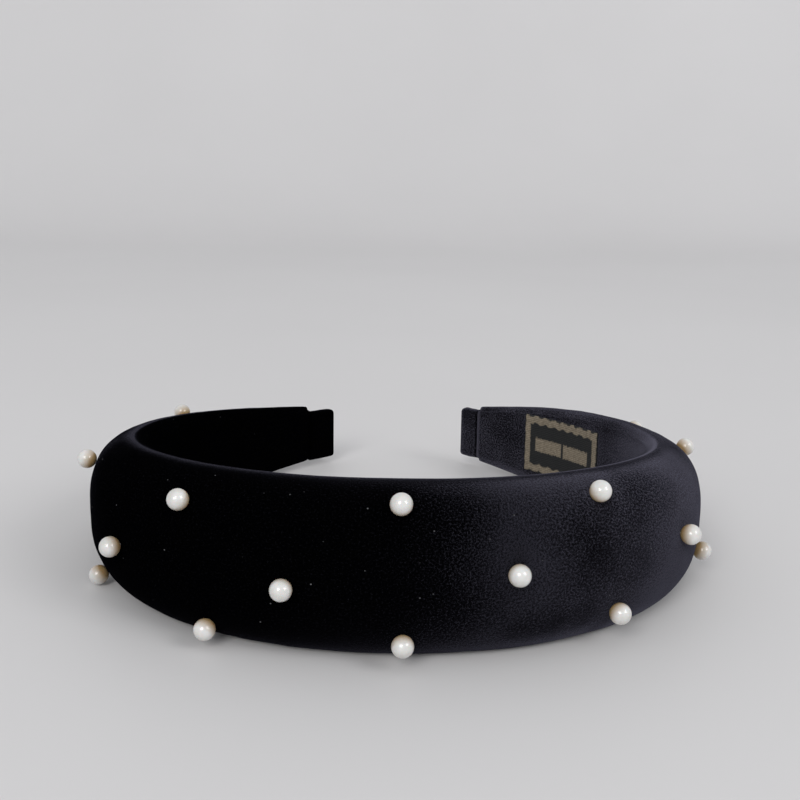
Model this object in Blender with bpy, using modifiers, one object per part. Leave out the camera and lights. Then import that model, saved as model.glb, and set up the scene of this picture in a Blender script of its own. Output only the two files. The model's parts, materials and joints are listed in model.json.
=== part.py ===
"""Padded velvet headband set with pearls, lying on its edge with the crown towards -Y.

A plastic spring band carries a foam pad. A velvet cover wraps both and folds over their rims, a lining
ribbon hides the folded hems, and a fabric sleeve closes each tip. Each pearl sits on a pin whose flat head
lies behind the cover. The band opens by bending at the crown, so everything that bends is made as a left
half and a right half, with the bend's axis at the crown's outermost face.

Metres, +Z up. The origin is the middle of the object's footprint on the surface it stands on.
"""
import math

import bmesh
import bpy
from mathutils import Matrix, Vector

# Plan of the inner face, which touches the head. Arcs run along it from the crown's middle, positive to +X.
HALF_LENGTH = 0.1937
PLAN_RADII = (0.1044, 0.0513, 0.0829, 0.440)   # at the crown, one third, two thirds and the tip
PLAN_STEP = 0.0005

# Cover: its width and depth, largest at the crown, and how they taper to its ends
TAPER_LENGTH = 0.185
COVER_END = {-1: 0.1834, 1: 0.1863}   # the arc where it ends on the left and on the right
CROWN_WIDTH = 0.0392
END_WIDTH = 0.0185
WIDTH_TAPER = 2.0
CROWN_DEPTH = 0.016
END_DEPTH = 0.0058
DEPTH_TAPER = 3.2
RIM_SHARE = 0.25            # the widest level, as a share of the depth
FACE_POWER = 2.8            # superellipse power across the width: 2 is round, more is flatter
HEM_SHARE = 0.225           # folded hem, as a share of the width
RIM_ROLL_SHARE = 0.12       # how far the rim rolls in before the hem lies flat
CLOTH = 0.0008
GAP = 0.0003
SPLIT_GAP = 0.0003

# Where the hand-cut cover leaves the even taper: side (0 is both), edge (1 is the top, -1 the foot), arc of
# the fullest place, how far it reaches on each way, and the extra width
CUT_DEPARTURES = (
    (0, 1, 0.060, 0.050, 0.0005),
    (1, 1, 0.150, 0.055, 0.0013),
    (1, -1, 0.150, 0.035, 0.00055),
    (-1, 1, 0.170, 0.060, -0.0005),
)

# Layers outwards from the inner face
LINING_THICKNESS = 0.0005
LINING_SHARE = 0.88          # of the cover's width
HEM_LEVEL = LINING_THICKNESS + GAP
CORE_LEVEL = HEM_LEVEL + CLOTH + GAP
CORE_THICKNESS = 0.0016
CORE_SHARE = 0.70           # of the cover's width
CORE_END_SHORT = 0.0014
FOAM_LEVEL = CORE_LEVEL + CORE_THICKNESS + GAP
FOAM_LENGTH = 0.168
FOAM_GAP = 0.0007           # clears the flats of the faceted cover

# Tip sleeves, which show beyond the cover's ends
SLEEVE_WIDTH = 0.0168
SLEEVE_DROP = {-1: 0.0008, 1: 0.0}    # sewn on a little low on the left
SLEEVE_DEPTH = 0.0038
SLEEVE_CORNER = 0.0012

# Woven label on the inside of the right arm
LABEL_START = 0.129
LABEL_END = 0.164
LABEL_HEIGHT = 0.019
LABEL_RAISED = 0.0015       # sewn a little above the mid plane
LABEL_THICKNESS = 0.0004

# Pearls and their pins
PEARL_RADIUS = 0.0025
PEARL_HOLE_DEPTH = 0.003
PIN_RADIUS = 0.0005
PIN_HOLE_RADIUS = 0.0008
PIN_HEAD_RADIUS = 0.002
PIN_HEAD_THICKNESS = 0.0004
PIN_HEAD_GAP = 0.0006       # behind the cover, clears its flats
POCKET_RADIUS = 0.0024
POCKET_SPARE = 0.0008       # room behind a head that crosses the split while the band opens

# Where the pearls are sewn: name, arc from the crown's middle, height as a share of the half width there
PEARL_PLACES = (
    ("middle_top", 0.0012, 0.79),
    ("middle_bottom", 0.0018, -0.64),
    ("left_1", -0.020, -0.08),
    ("right_1", 0.0223, 0.11),
    ("left_2_top", -0.0415, 0.68),
    ("left_2_bottom", -0.0362, -0.69),
    ("right_2_top", 0.0401, 0.81),
    ("right_2_bottom", 0.0438, -0.525),
    ("left_3", -0.0588, -0.045),
    ("right_3", 0.0633, 0.143),
    ("left_4_top", -0.0865, 0.62),
    ("left_4_bottom", -0.0745, -0.74),
    ("right_4_top", 0.1039, 0.685),
    ("right_4_bottom", 0.0851, -0.535),
    ("left_5", -0.110, -0.05),
    ("right_5", 0.110, 0.05),
    ("left_6_top", -0.1367, 0.823),
    ("left_6_bottom", -0.130, -0.70),
    ("right_6_top", 0.1294, 0.665),
    ("right_6_bottom", 0.134, -0.60),
)

# How it stands: leaning back until the crown and both arms touch, its rims flattened by its own weight
REST_TILT = math.radians(2.8)
RIM_FLATTENED = 0.0004
ORIGIN_BEHIND_CROWN = 0.0601

# Mesh density
COVER_STATIONS = 19
FACE_POINTS = 15
STRIP_STATIONS = 20
TURNED_STEPS = 10


def remove_scene_objects():
    for existing in list(bpy.data.objects):
        bpy.data.objects.remove(existing, do_unlink=True)


def plan_curvature(arc):
    """Curvature of the inner face, linear between the four stated radii."""
    position = min(arc / HALF_LENGTH, 1.0) * (len(PLAN_RADII) - 1)
    index = min(int(position), len(PLAN_RADII) - 2)
    share = position - index
    return (1 - share) / PLAN_RADII[index] + share / PLAN_RADII[index + 1]


def walk_plan():
    """Points of the inner face on the right half: x, y and heading, one each PLAN_STEP."""
    x = y = heading = 0.0
    rows = [(x, y, heading)]
    for step in range(round(HALF_LENGTH / PLAN_STEP) + 1):
        middle = plan_curvature((step + 0.5) * PLAN_STEP)
        heading_half = heading + middle * PLAN_STEP / 2
        x += math.cos(heading_half) * PLAN_STEP
        y += math.sin(heading_half) * PLAN_STEP
        heading += middle * PLAN_STEP
        rows.append((x, y, heading))
    return rows


PLAN = walk_plan()


def plan_at(arc):
    """x, y and heading of the inner face at an arc length from the crown's middle, on the right half."""
    position = min(arc / PLAN_STEP, len(PLAN) - 1.001)
    index = int(position)
    share = position - index
    return [(1 - share) * a + share * b for a, b in zip(PLAN[index], PLAN[index + 1])]


def band_point(arc, outward, height):
    """A point in the band's own frame, from its arc, its distance outwards and its height off the mid plane."""
    side = math.copysign(1.0, arc)
    x, y, heading = plan_at(abs(arc))
    return Vector((side * (x + math.sin(heading) * outward), y - math.cos(heading) * outward, height))


def taper(crown, end, power, arc):
    share = min(abs(arc) / TAPER_LENGTH, 1.0)
    return crown - (crown - end) * share ** power


def cover_width(arc):
    """The even taper, before the hand cutting's departures from it."""
    return taper(CROWN_WIDTH, END_WIDTH, WIDTH_TAPER, arc)


def rim_height(arc, edge):
    """Distance of the cover's top rim (edge 1) or foot rim (edge -1) from the mid plane."""
    height = cover_width(arc) / 2
    for side, where, centre, reach, extra in CUT_DEPARTURES:
        if where == edge and side in (0, math.copysign(1, arc)):
            distance = min(abs(abs(arc) - centre) / reach, 1.0)
            height += extra * (1 + math.cos(math.pi * distance)) / 2
    return height


def cover_depth(arc):
    return taper(CROWN_DEPTH, END_DEPTH, DEPTH_TAPER, arc)


def face_profile(arc, inset, angle):
    """Outward distance and height on the domed face; the angle runs from -90 at the foot to 90 at the top."""
    depth = cover_depth(arc)
    rim = depth * RIM_SHARE
    outward = rim + (depth - inset - rim) * max(math.cos(angle), 0.0)
    half = rim_height(arc, 1 if angle > 0 else -1) - inset
    height = half * abs(math.sin(angle)) ** (2 / FACE_POWER)
    return outward, math.copysign(height, angle)


def rolled_hem(arc, edge):
    """The hem's flat and the rim's roll at one edge, from the hem's raw edge to just short of the rim."""
    half = rim_height(arc, edge)
    rim = cover_depth(arc) * RIM_SHARE
    roll = cover_width(arc) * RIM_ROLL_SHARE
    hem = half - cover_width(arc) * HEM_SHARE
    points = [(HEM_LEVEL, edge * hem), (HEM_LEVEL, edge * (half - roll))]
    for angle in (math.radians(30), math.radians(60)):
        points.append((HEM_LEVEL + (rim - HEM_LEVEL) * (1 - math.cos(angle)),
                       edge * (half - roll + roll * math.sin(angle))))
    return points


def cover_section(arc):
    """Outline of the cover from the top hem's edge, round the domed face, to the foot hem's edge."""
    face = []
    for index in range(FACE_POINTS):
        angle = math.pi * (0.5 - index / (FACE_POINTS - 1))
        face.append(face_profile(arc, 0.0, angle))
    return rolled_hem(arc, 1) + face + rolled_hem(arc, -1)[::-1]


def foam_section(arc):
    """Closed outline of the foam: the cover's domed face moved in, cut flat where it lies on the core."""
    inset = CLOTH + FOAM_GAP
    rim = cover_depth(arc) * RIM_SHARE
    rise = cover_depth(arc) - inset - rim
    edge_angle = math.acos(max((FOAM_LEVEL - rim) / rise, 0.0))
    angles = [edge_angle * (1 - 2 * index / (FACE_POINTS - 1)) for index in range(FACE_POINTS)]
    return [face_profile(arc, inset, angle) for angle in angles]


def strip_section(top, foot, inner, outer):
    return [(inner, top), (outer, top), (outer, foot), (inner, foot)]


def loft(name, side, arcs, section_at, closed):
    """Sweep a section along the band. A closed section gives a capped solid, an open one a sheet."""
    mesh = bmesh.new()
    rings = []
    for arc in arcs:
        points = [band_point(side * arc, outward, height) for outward, height in section_at(side * arc)]
        rings.append([mesh.verts.new(point) for point in points])
    count = len(rings[0])
    for ring, following in zip(rings, rings[1:]):
        for index in range(count if closed else count - 1):
            after = (index + 1) % count
            corners = (ring[index], ring[after], following[after], following[index])
            mesh.faces.new(corners if side > 0 else corners[::-1])
    if closed:
        mesh.faces.new(rings[0] if side < 0 else rings[0][::-1])
        mesh.faces.new(rings[-1][::-1] if side < 0 else rings[-1])
    data = bpy.data.meshes.new(name)
    mesh.to_mesh(data)
    mesh.free()
    data.shade_smooth()
    data.set_sharp_from_angle(angle=math.radians(35))
    return bpy.data.objects.new(name, data)


def stations(start, end, count):
    return [start + (end - start) * index / (count - 1) for index in range(count)]


def material(name, colour, roughness, metallic=0.0):
    made = bpy.data.materials.new(name)
    made.use_nodes = True
    shader = made.node_tree.nodes["Principled BSDF"]
    shader.inputs["Base Color"].default_value = (*colour, 1.0)
    shader.inputs["Roughness"].default_value = roughness
    shader.inputs["Metallic"].default_value = metallic
    return made


def add_part(thing, parent, finish):
    thing.data.materials.clear()
    thing.data.materials.append(finish)
    thing.parent = parent
    bpy.data.collections["headband"].objects.link(thing)
    return thing


def add_cutter(thing, parent):
    thing.parent = parent
    thing.hide_render = True
    thing.display_type = "WIRE"
    bpy.data.collections["cutters"].objects.link(thing)
    return thing


def cut(thing, cutter):
    boolean = thing.modifiers.new("cut_" + cutter.name, "BOOLEAN")
    boolean.operation = "DIFFERENCE"
    boolean.solver = "EXACT"
    boolean.object = cutter


def side_name(side):
    return "left" if side < 0 else "right"


def velvet_cover(side):
    arcs = stations(SPLIT_GAP / 2, COVER_END[side], COVER_STATIONS)
    sheet = loft("velvet_cover_" + side_name(side), side, arcs, cover_section, closed=False)
    solidify = sheet.modifiers.new("cloth", "SOLIDIFY")
    solidify.thickness = CLOTH
    solidify.offset = -1.0
    solidify.use_even_offset = True
    return sheet


def foam_pad(side):
    arcs = stations(SPLIT_GAP / 2, FOAM_LENGTH, COVER_STATIONS)
    return loft("foam_pad_" + side_name(side), side, arcs, foam_section, closed=True)


def spring_core(side):
    """The plastic spring band, which runs on through the cover's end into the tip sleeve."""
    def section(arc):
        half = cover_width(arc) / 2 * CORE_SHARE
        return strip_section(half, -half, CORE_LEVEL, CORE_LEVEL + CORE_THICKNESS)

    arcs = stations(SPLIT_GAP / 2, HALF_LENGTH - CORE_END_SHORT, STRIP_STATIONS)
    return loft("spring_core_" + side_name(side), side, arcs, section, closed=True)


def lining_ribbon(side):
    def section(arc):
        top = rim_height(arc, 1) * LINING_SHARE
        foot = -rim_height(arc, -1) * LINING_SHARE
        return strip_section(top, foot, 0.0, LINING_THICKNESS)

    arcs = stations(SPLIT_GAP / 2, COVER_END[side], STRIP_STATIONS)
    return loft("lining_ribbon_" + side_name(side), side, arcs, section, closed=True)


def sleeve_section(inset):
    """Rounded oblong of the tip sleeve, moved in by inset."""
    half = SLEEVE_WIDTH / 2 - inset
    inner = HEM_LEVEL + inset
    outer = HEM_LEVEL + SLEEVE_DEPTH - inset
    corner = max(SLEEVE_CORNER - inset, 0.0003)
    centres = ((outer - corner, half - corner, 0), (outer - corner, corner - half, 270),
               (inner + corner, corner - half, 180), (inner + corner, half - corner, 90))
    points = []
    for level, height, start in centres:
        for turn in (90, 45, 0):
            angle = math.radians(start + turn)
            points.append((level + corner * math.cos(angle), height + corner * math.sin(angle)))
    return points


def tip_sleeve(side):
    """A pocket over the end of the core: a wall all round, closed at the tip."""
    mesh = bmesh.new()
    start = COVER_END[side] + GAP
    rings = []
    for arc, inset in ((start, 0.0), (HALF_LENGTH - 0.0008, 0.0), (HALF_LENGTH, 0.0006),
                       (HALF_LENGTH - CLOTH, CLOTH), (start, CLOTH)):
        points = [band_point(side * arc, outward, height - SLEEVE_DROP[side])
                  for outward, height in sleeve_section(inset)]
        rings.append([mesh.verts.new(point) for point in points])
    count = len(rings[0])
    for order, (ring, following) in enumerate(((0, 1), (1, 2), (3, 4), (4, 0))):
        for index in range(count):
            after = (index + 1) % count
            corners = (rings[ring][index], rings[ring][after],
                       rings[following][after], rings[following][index])
            mesh.faces.new(corners if side > 0 else corners[::-1])
    mesh.faces.new(rings[2] if side > 0 else rings[2][::-1])
    mesh.faces.new(rings[3][::-1] if side > 0 else rings[3])
    data = bpy.data.meshes.new("tip_sleeve")
    mesh.to_mesh(data)
    mesh.free()
    return bpy.data.objects.new("tip_sleeve_" + side_name(side), data)


def woven_label():
    def section(arc):
        return strip_section(LABEL_RAISED + LABEL_HEIGHT / 2, LABEL_RAISED - LABEL_HEIGHT / 2,
                             -GAP - LABEL_THICKNESS, -GAP)

    return loft("woven_label", 1, stations(LABEL_START, LABEL_END, 8), section, closed=True)


def face_angle(height_share):
    """The face_profile angle whose height is this share of the half width."""
    return math.copysign(math.asin(abs(height_share) ** (FACE_POWER / 2)), height_share)


def seat(arc, height_share):
    """Matrix in the band's frame at a pearl's seat on the cover: Z is the outward normal."""
    angle = face_angle(height_share)
    step = 0.01
    centre = band_point(arc, *face_profile(arc, 0.0, angle))
    above = band_point(arc, *face_profile(arc, 0.0, angle + step))
    below = band_point(arc, *face_profile(arc, 0.0, angle - step))
    reach = 0.001
    ahead = band_point(arc + reach, *face_profile(arc + reach, 0.0, angle))
    behind = band_point(arc - reach, *face_profile(arc - reach, 0.0, angle))
    up = (above - below).normalized()
    along = (ahead - behind).normalized()
    normal = along.cross(up).normalized()
    along = up.cross(normal)
    basis = Matrix((along, up, normal)).transposed().to_4x4()
    return Matrix.Translation(centre) @ basis


def turned(name, profile):
    """A round solid from a profile of (radius, height) that runs from the top of the axis to its foot."""
    data = bpy.data.meshes.new(name)
    points = [(radius, 0.0, height) for radius, height in profile]
    edges = [(index, index + 1) for index in range(len(points) - 1)]
    data.from_pydata(points, edges, [])
    made = bpy.data.objects.new(name, data)
    screw = made.modifiers.new("turn", "SCREW")
    screw.axis = "Z"
    screw.steps = TURNED_STEPS
    screw.render_steps = TURNED_STEPS
    screw.use_merge_vertices = True
    screw.merge_threshold = 0.00001
    screw.use_smooth_shade = True
    return made


def pearl(name, place):
    """A bead with a blind hole for its pin, just clear of the cover. Its own Z runs out from the cover."""
    centre = PEARL_RADIUS + GAP
    mouth = math.asin(PIN_HOLE_RADIUS / PEARL_RADIUS)
    slices = 7
    profile = []
    for index in range(slices + 1):
        angle = (math.pi - mouth) * index / slices
        profile.append((PEARL_RADIUS * math.sin(angle), centre + PEARL_RADIUS * math.cos(angle)))
    profile += [(PIN_HOLE_RADIUS, GAP + PEARL_HOLE_DEPTH), (0.0, GAP + PEARL_HOLE_DEPTH)]
    made = turned("pearl_" + name, profile)
    made.matrix_local = place
    return made


def pin(name, place):
    """A flat-headed pin: the head lies behind the cover, the shank ends inside the pearl."""
    top = PEARL_HOLE_DEPTH - GAP
    head_top = -CLOTH - PIN_HEAD_GAP
    head_foot = head_top - PIN_HEAD_THICKNESS
    profile = [(0.0, top), (PIN_RADIUS, top - PIN_RADIUS), (PIN_RADIUS, head_top),
               (PIN_HEAD_RADIUS, head_top), (PIN_HEAD_RADIUS, head_foot), (0.0, head_foot)]
    made = turned("pin_" + name, profile)
    made.matrix_local = place
    return made


def joined_cylinders(name, places, radius, top, foot):
    """One cutter holding a cylinder at each place, from top down to foot along its Z."""
    mesh = bmesh.new()
    for place in places:
        middle = place @ Matrix.Translation((0.0, 0.0, (top + foot) / 2))
        bmesh.ops.create_cone(mesh, cap_ends=True, segments=TURNED_STEPS, radius1=radius,
                              radius2=radius, depth=top - foot, matrix=middle)
    data = bpy.data.meshes.new(name)
    mesh.to_mesh(data)
    mesh.free()
    return bpy.data.objects.new(name, data)


def rim_cutter():
    """A slab whose top is the surface that the headband stands on."""
    mesh = bmesh.new()
    slab = Matrix.Translation((0.0, 0.0, -0.01)) @ Matrix.Diagonal((0.3, 0.3, 0.02, 1.0))
    bmesh.ops.create_cube(mesh, size=1.0, matrix=slab)
    data = bpy.data.meshes.new("standing_surface")
    mesh.to_mesh(data)
    mesh.free()
    return bpy.data.objects.new("standing_surface", data)


def lowest_rim_height():
    """Lowest point of the tilted cover when the band's frame has its origin at height 0."""
    turn = Matrix.Rotation(-REST_TILT, 4, "X")
    heights = []
    for arc in stations(-COVER_END[-1], COVER_END[1], 400):
        outward, height = face_profile(arc, 0.0, -math.pi / 2)
        heights.append((turn @ band_point(arc, outward, height)).z)
    return min(heights)


def empty(name, parent=None):
    made = bpy.data.objects.new(name, None)
    made.parent = parent
    bpy.context.scene.collection.objects.link(made)
    return made


def build():
    remove_scene_objects()
    for name in ("headband", "cutters"):
        bpy.context.scene.collection.children.link(bpy.data.collections.new(name))

    velvet = material("black_velvet", (0.012, 0.012, 0.016), 0.9)
    satin = material("lining_fabric", (0.02, 0.022, 0.03), 0.6)
    foam = material("foam", (0.75, 0.72, 0.62), 0.95)
    plastic = material("core_plastic", (0.6, 0.6, 0.58), 0.4)
    woven = material("label_weave", (0.18, 0.13, 0.07), 0.8)
    bead = material("pearl_white", (0.86, 0.82, 0.76), 0.2)
    steel = material("pin_steel", (0.62, 0.62, 0.64), 0.3, metallic=1.0)

    stance = empty("stance")
    stance.matrix_world = (Matrix.Translation((0.0, -ORIGIN_BEHIND_CROWN, -lowest_rim_height() - RIM_FLATTENED))
                           @ Matrix.Rotation(-REST_TILT, 4, "X"))
    bend_axis = empty("bend_axis", stance)
    bend_axis.location = (0.0, -CROWN_DEPTH, 0.0)
    from_axis = Matrix.Translation((0.0, CROWN_DEPTH, 0.0))

    table = add_cutter(rim_cutter(), None)
    places = {name: seat(arc, share) for name, arc, share in PEARL_PLACES}
    on_right = {name: arc > 0 for name, arc, share in PEARL_PLACES}

    for side in (-1, 1):
        parent = stance if side < 0 else bend_axis
        shift = Matrix.Identity(4) if side < 0 else from_axis
        own = [shift @ places[name] for name in places if on_right[name] == (side > 0)]
        crossing = [shift @ places[name] for name in places if name.startswith("middle")]
        holes = add_cutter(joined_cylinders("pin_holes_" + side_name(side), own, PIN_HOLE_RADIUS,
                                            CLOTH, -2 * CLOTH), parent)
        pockets = own if side > 0 else own + crossing
        pocket_foot = -CLOTH - PIN_HEAD_GAP - PIN_HEAD_THICKNESS - POCKET_SPARE
        head_pockets = add_cutter(joined_cylinders("head_pockets_" + side_name(side), pockets,
                                                   POCKET_RADIUS, -CLOTH, pocket_foot), parent)

        cover = velvet_cover(side)
        pad = foam_pad(side)
        pieces = [(cover, velvet), (pad, foam), (spring_core(side), plastic),
                  (lining_ribbon(side), satin), (tip_sleeve(side), velvet)]
        if side > 0:
            pieces.append((woven_label(), woven))
        for piece, finish in pieces:
            piece.data.transform(shift)
            add_part(piece, parent, finish)
        cut(cover, holes)
        cut(cover, table)
        cut(pad, head_pockets)

    for name, place in places.items():
        parent = bend_axis if on_right[name] else stance
        seated = from_axis @ place if on_right[name] else place
        add_part(pearl(name, seated), parent, bead)
        add_part(pin(name, seated), parent, steel)


build()
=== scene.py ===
"""Looks of the padded velvet headband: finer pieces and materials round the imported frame, light and camera.

Metres, +Z up, in the frame of the CAD. The band's own frame has its origin at the crown's middle on the
inner face; the arc runs along that face, positive to +X, "outward" leaves the head and "height" crosses the
band. The stance matrix takes that frame to the scene's.
"""
import json
import math

import bmesh
import bpy
import numpy as np
from mathutils import Matrix, Vector, noise


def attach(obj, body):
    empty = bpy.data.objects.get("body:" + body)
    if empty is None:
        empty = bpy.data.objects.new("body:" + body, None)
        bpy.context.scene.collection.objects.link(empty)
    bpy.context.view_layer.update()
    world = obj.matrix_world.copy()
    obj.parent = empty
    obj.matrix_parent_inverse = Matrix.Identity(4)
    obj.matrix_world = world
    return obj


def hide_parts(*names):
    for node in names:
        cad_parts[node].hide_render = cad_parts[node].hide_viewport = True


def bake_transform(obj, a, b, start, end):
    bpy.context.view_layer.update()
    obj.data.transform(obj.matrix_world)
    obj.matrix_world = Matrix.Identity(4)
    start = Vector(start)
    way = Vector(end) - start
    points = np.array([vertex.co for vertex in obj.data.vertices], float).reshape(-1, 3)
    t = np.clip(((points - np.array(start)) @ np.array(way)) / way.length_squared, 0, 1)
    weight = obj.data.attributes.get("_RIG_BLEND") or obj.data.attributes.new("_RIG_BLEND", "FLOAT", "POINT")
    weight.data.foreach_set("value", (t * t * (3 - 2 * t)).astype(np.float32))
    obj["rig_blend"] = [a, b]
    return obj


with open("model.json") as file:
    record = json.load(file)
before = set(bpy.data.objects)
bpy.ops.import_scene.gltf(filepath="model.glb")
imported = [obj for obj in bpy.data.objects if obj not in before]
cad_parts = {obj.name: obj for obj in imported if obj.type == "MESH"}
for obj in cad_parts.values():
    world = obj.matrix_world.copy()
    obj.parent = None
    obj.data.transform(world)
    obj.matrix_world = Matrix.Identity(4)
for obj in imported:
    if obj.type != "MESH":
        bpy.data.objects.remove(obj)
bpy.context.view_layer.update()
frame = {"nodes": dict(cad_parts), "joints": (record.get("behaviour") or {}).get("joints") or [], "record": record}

# Plan of the inner face, as in the CAD
HALF_LENGTH = 0.1937
PLAN_RADII = (0.1044, 0.0513, 0.0829, 0.440)   # at the crown, one third, two thirds and the tip
PLAN_STEP = 0.0005          # how finely the plan is walked

# Cover, as in the CAD
TAPER_LENGTH = 0.185
COVER_END = {-1: 0.1834, 1: 0.1863}   # the arc where it ends on the left and on the right
CROWN_WIDTH = 0.0392
END_WIDTH = 0.0185
WIDTH_TAPER = 2.0
CROWN_DEPTH = 0.016
END_DEPTH = 0.0058
DEPTH_TAPER = 3.2
RIM_SHARE = 0.25            # of the depth: how far out the rims are
FACE_POWER = 2.8            # how square the domed face is
HEM_SHARE = 0.225           # of the width: how far each hem reaches in
RIM_ROLL_SHARE = 0.12       # of the width: the part where a hem turns up to its rim
CLOTH = 0.0008
CUT_DEPARTURES = (          # side (0 both), edge (1 top, -1 foot), arc, reach and extra width
    (0, 1, 0.060, 0.050, 0.0005),
    (1, 1, 0.150, 0.055, 0.0013),
    (1, -1, 0.150, 0.035, 0.00055),
    (-1, 1, 0.170, 0.060, -0.0005),
)

# The other pieces, as in the CAD. A level is the outward distance of a piece's inner side.
LINING_THICKNESS = 0.0005
HEM_LEVEL = 0.0008
CORE_LEVEL = 0.0019
CORE_THICKNESS = 0.0016
CORE_SHARE = 0.70           # of the cover's width
CORE_END_SHORT = 0.0014
FOAM_LEVEL = 0.0038
FOAM_LENGTH = 0.168
FOAM_INSET = 0.0015
SLEEVE_WIDTH = 0.0168
SLEEVE_DROP = {-1: 0.0008, 1: 0.0}
SLEEVE_DEPTH = 0.0038
LABEL_START = 0.129
LABEL_END = 0.164
LABEL_HEIGHT = 0.019
LABEL_RAISED = 0.0015
LABEL_THICKNESS = 0.0004
PEARL_RADIUS = 0.0025

# What the looks add to the cover
PILE = 0.0004               # the velvet's pile, which stands proud of the cloth
PILE_RISE = (0.0014, 0.0003)   # the pile stands up between these distances inside the lining's edge
END_ROLL = 0.0018           # the cover's end is tucked in with this radius
LEAST_ROLL = 0.0001
TABLE_CLEAR = 0.0001        # the pile rests this far above the table
DIMPLE_DEPTH = 0.00012      # where a pearl's pin pulls the cover in
DIMPLE_RADIUS = 0.0034
DIMPLE_REACH = 3            # a dimple is worked out to this many radii
UNEVEN = 0.00012            # soft unevenness of the foam under the cover
UNEVEN_SCALES = (90.0, 260.0)
UNEVEN_FINE_SHARE = 0.5     # of the broad unevenness
UNEVEN_FINE_OFFSET = Vector((3, 1, 2))
RIM_PILE_INNER = (0.65, 0.9)      # of the rim's depth: the pile takes the rim's lean between these
RIM_PILE_OUTER = (0.0005, 0.004)  # past the rim: it takes the face's lean between these

# Lining
LINING_SHARE = 0.90         # of the cover's width: its edges are lost in the pile
LINING_END_SHORT = 0.0006
LINING_EDGE_FROM = 0.86     # of its own half width: it lifts over the pile from here
LINING_EDGE_LIFT = (0.00036, 0.00015)   # of its inner and outer side
LINING_WANDER = 0.00006
LINING_WANDER_SCALE = 140.0

# Foam
FOAM_DENT_DEPTH = 0.0009    # where a pin's head presses into it
FOAM_DENT_RADIUS = 0.0026
FOAM_FLAT_SHARE = 0.85      # of its flat back's half width that has points of its own

# Core
CORE_CORNER = 0.0005
CORE_END_LEFT = 0.12        # of the width: what its rounded ends come down to

# Sleeves
SLEEVE_SAG = {-1: 0.0007, 1: 0.0002}      # how far each hangs below its CAD place
SLEEVE_EXTRA = {-1: 0.0011, 1: 0.0003}    # how far each runs on past its CAD place
SLEEVE_START_SHORT = 0.0001   # share 0 of the rows lies this far inside the cover's end
SLEEVE_EASE = 0.0002        # how much fuller than its CAD solid a sleeve is on every side
SLEEVE_CORNER = 0.0015
SLEEVE_LEAST_CORNER = 0.00004
SLEEVE_SHUT = 0.00205       # this far in, the two faces meet at the seam
SLEEVE_LUMPS = ((0.00022, 260.0), (0.0001, 700.0))   # height and scale of its unevenness
SLEEVE_LUMP_AIM = 0.8       # a lump pushes a point away from this share of its height
SLEEVE_ROWS = (             # share of the length and how far in the cloth is: mouth to seam and back
    (-0.3, 0.0006), (-0.02, 0.0006), (0.0, 0.0005), (0.02, 0.0003), (0.06, 0.0), (0.15, 0.0), (0.3, 0.0),
    (0.45, 0.0), (0.6, 0.0), (0.74, 0.0), (0.85, 0.00003), (0.92, 0.00015), (0.96, 0.0004), (0.985, 0.0008),
    (1.0, 0.0013), (1.006, 0.0017), (1.008, SLEEVE_SHUT), (0.99, SLEEVE_SHUT), (0.96, 0.0016),
    (0.93, 0.0013), (0.6, 0.001), (0.3, 0.001), (0.05, 0.0011), (-0.02, 0.0011), (-0.3, 0.0011),
)

# Label
LABEL_TURNED_ENDS = (0.485, 0.5)    # of its length from the middle: the cut ends turn under between these
LABEL_TURNED_EDGES = (0.47, 0.5)    # of its height
LABEL_TURNED_LOSS = 0.5     # of its thickness
LABEL_PROUD = 0.00005       # its face stands this far above its own thickness
LABEL_BACK_CLEAR = 0.00002  # its back lies this far off the lining
LABEL_WANDER = 0.00008
LABEL_WANDER_SCALE = 190.0

# Pearls and pins
HOLE_ANGLE = math.radians(18)       # of a pearl's blind hole, from its axis
HOLE_TOP = 0.0005                   # where the hole ends, from the pearl's centre
HOLE_BEVEL = 0.0002
HOLE_NARROWS = (0.92, 0.9)          # at its bevel and at its top
SHANK_RADIUS = 0.0005
HEAD_RADIUS = 0.002
HEAD_THICKNESS = 0.0004
SHANK_POINT = ((0.6, 0.0002), (1.0, 0.0006))        # share of its radius, and how far below its top
SHANK_FILLET = ((1.0, 0.0002), (1.5, 0.0))          # share of its radius, and how far above the head
HEAD_RIM = ((0.9, 1.0), (1.0, 0.6), (0.97, 0.0))    # shares of its radius and thickness, downwards

# Velvet
VELVET_DARK = (0.0003, 0.0003, 0.0004)
# painted glints: colour of the tufts that lean most
VELVET_GLINT = (0.006, 0.006, 0.008)
LINT = (0.13, 0.13, 0.135)
VELVET_SHEEN = 0.15
LINING_SHEEN = 0.11
VELVET_SHEEN_ROUGHNESS = 0.30
VELVET_SHEEN_TINT = (0.77, 0.75, 1.0)
COVER_LEAN = (              # arc and how far the pile leans along the band there
    (-0.190, 0.8), (-0.110, 0.6), (-0.086, 0.33), (-0.066, 0.8), (0.000, 0.85), (0.010, 1.1), (0.022, 1.4),
    (0.036, 1.0), (0.050, 0.48), (0.066, 0.36), (0.085, -0.09), (0.120, 0.0), (0.190, 0.8),
)
RIM_LEAN = ((-0.190, 0.05), (0.020, 0.05), (0.050, -0.05), (0.120, -0.02), (0.190, 0.2))
LINING_LEAN = ((-0.190, 1.0), (0.060, 1.0), (0.100, 0.3), (0.125, 0.42), (0.150, 0.8), (0.190, 0.95))
STROKES = (                 # arc, girth, reach along each, and how much further or less it is brushed
    (0.022, -0.006, 0.016, 0.014, 0.3),
    (0.032, 0.016, 0.028, 0.013, -0.7),
    (0.040, -0.004, 0.017, 0.018, -0.32),
)
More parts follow.
